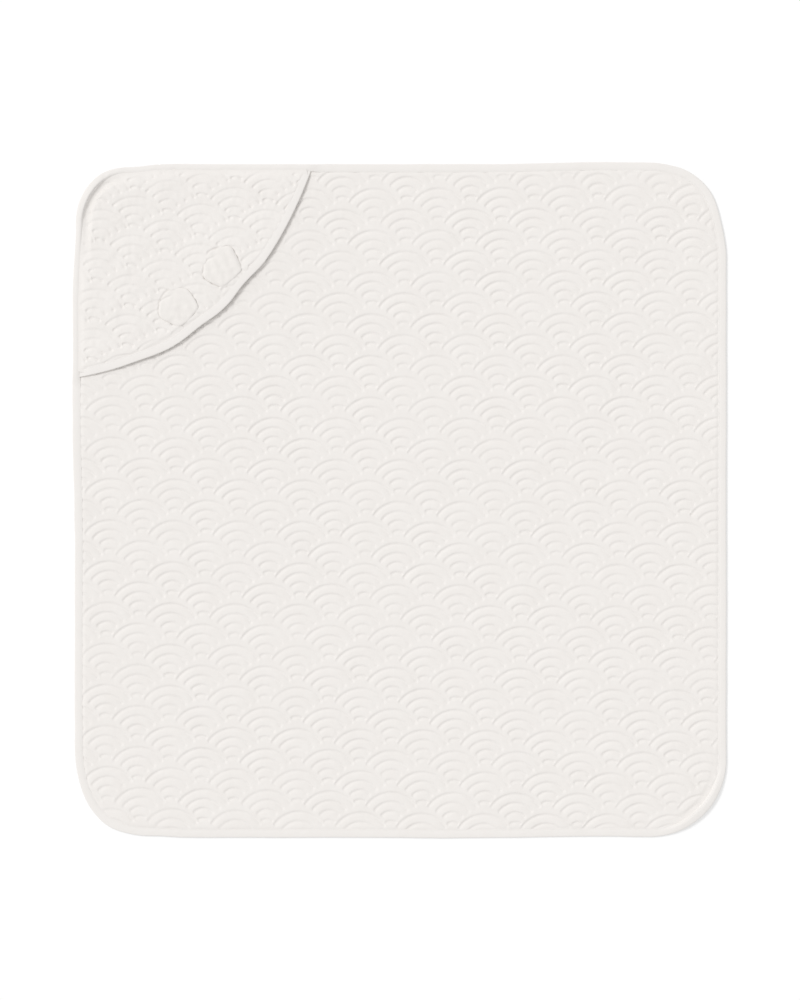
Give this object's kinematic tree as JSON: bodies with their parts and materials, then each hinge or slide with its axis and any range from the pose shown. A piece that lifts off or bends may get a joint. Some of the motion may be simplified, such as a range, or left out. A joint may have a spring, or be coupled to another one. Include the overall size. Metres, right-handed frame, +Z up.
{
  "type": "hooded baby towel",
  "caption": "Square quilted towel with rounded bound corners, a lifting corner hood with a bound free edge, and two small fabric ears.",
  "frame": {"origin": "centre of the towel's outline, on the flat surface that the towel lies on", "axes": "+Z up from the surface; +Y along the towel's longer side, towards the hood's top seam; +X across the towel, away from the hood, so the hood fills the (-X, +Y) corner"},
  "size_m": [0.782, 0.808, 0.0101],
  "materials": {
    "quilted_jersey": "off-white knitted cotton jersey, matt and soft, stitched in a wave pattern",
    "binding_tape": "off-white bias-cut jersey tape, matt, folded over the edge",
    "ear_fleece": "off-white brushed jersey, matt, unquilted",
    "wadding": "white fibre wadding",
    "sewing_thread": "off-white spun sewing thread, slightly shiny"
  },
  "bodies": {
    "towel": {"body_face_fabric": "quilted_jersey", "body_wadding": "wadding", "body_backing_fabric": "quilted_jersey", "edge_binding": "binding_tape", "edge_binding_stitching": "sewing_thread"},
    "hood": {"hood_outer_fabric": "quilted_jersey", "hood_wadding": "wadding", "hood_lining": "quilted_jersey", "hood_edge_binding": "binding_tape", "hood_edge_binding_stitching": "sewing_thread", "left_ear_stitches": "sewing_thread", "right_ear_stitches": "sewing_thread"},
    "left_ear": {"left_ear_front": "ear_fleece", "left_ear_wadding": "wadding", "left_ear_back": "ear_fleece"},
    "right_ear": {"right_ear_front": "ear_fleece", "right_ear_wadding": "wadding", "right_ear_back": "ear_fleece"}
  },
  "joints": [
    {"name": "hood_lift", "type": "hinge", "parent": "towel", "child": "hood", "pos_m": [-0.36062, 0.37839, 0.0072], "axis": [-0.746, -0.666, 0], "range_deg": [0, 14]},
    {"name": "left_ear_flip", "type": "hinge", "parent": "hood", "child": "left_ear", "pos_m": [-0.25271, 0.21812, 0.0076], "axis": [0.746, 0.666, 0], "range_deg": [0, 110]},
    {"name": "right_ear_flip", "type": "hinge", "parent": "hood", "child": "right_ear", "pos_m": [-0.20012, 0.26507, 0.0076], "axis": [0.746, 0.666, 0], "range_deg": [0, 110]}
  ]
}
